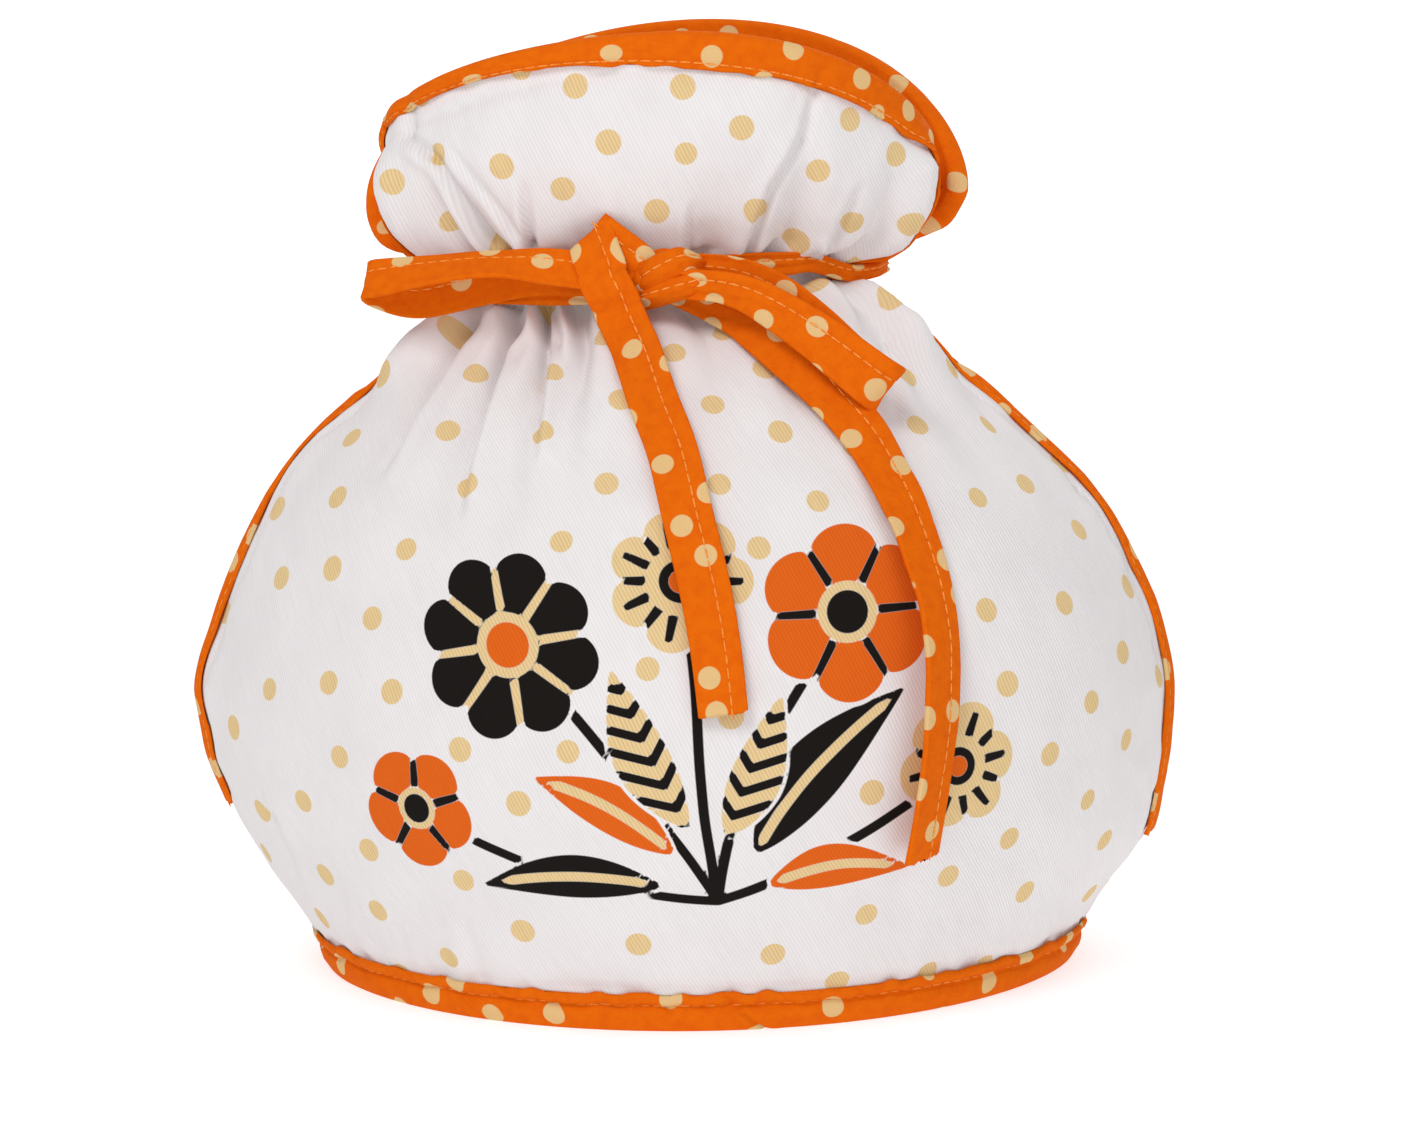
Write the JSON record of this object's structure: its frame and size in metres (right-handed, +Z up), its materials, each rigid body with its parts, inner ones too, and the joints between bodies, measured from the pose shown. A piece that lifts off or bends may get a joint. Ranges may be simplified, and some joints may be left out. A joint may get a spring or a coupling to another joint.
{
  "type": "tea cosy",
  "caption": "Padded cotton tea cosy of rounded panels with bound side openings for spout and handle, a gathered neck tied in a bow and a flared ruffle above it, standing on a bound hem.",
  "frame": {"origin": "middle of the footprint, on the surface that the hem stands on", "axes": "+Z up, -Y the front with the bow, +X the side with the opening for the handle"},
  "size_m": [0.2404, 0.1897, 0.2324],
  "materials": {
    "printed_cotton": "off-white cotton twill with printed sand dots",
    "spotted_lining": "orange cotton with cream dots",
    "spotted_tape": "orange cotton tape with cream dots, topstitched"
  },
  "bodies": {
    "root": {"front_panel": "printed_cotton", "back_panel": "printed_cotton", "front_lining": "spotted_lining", "back_lining": "spotted_lining", "front_edge_tape": "spotted_tape", "back_edge_tape": "spotted_tape", "hem_tape": "spotted_tape", "tie": "spotted_tape"}
  },
  "joints": []
}
